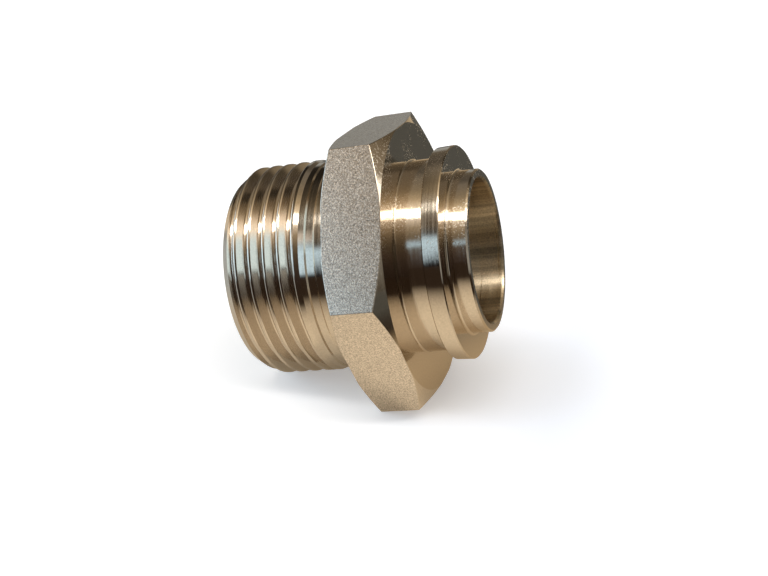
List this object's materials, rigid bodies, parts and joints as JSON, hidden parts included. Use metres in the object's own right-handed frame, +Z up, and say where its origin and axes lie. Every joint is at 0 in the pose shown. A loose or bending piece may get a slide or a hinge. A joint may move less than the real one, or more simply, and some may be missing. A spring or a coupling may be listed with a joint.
{
  "type": "weld nipple",
  "caption": "Turned hexagon weld nipple with a male parallel pipe thread, a neck, a round collar and a thin-walled spigot, bored straight through.",
  "frame": {"origin": "on the ground, under the middle of the bounding box", "axes": "+Z up; +X from the thread towards the spigot, along the ground under the fitting's own axis, which rises 14.8 degrees towards +X; +Y across, corner to corner of the hexagon"},
  "size_m": [0.0426, 0.0474, 0.0419],
  "materials": {
    "stainless_steel": "bright fine-turned stainless steel"
  },
  "bodies": {
    "root": {"weld_nipple": "stainless_steel"}
  },
  "joints": []
}
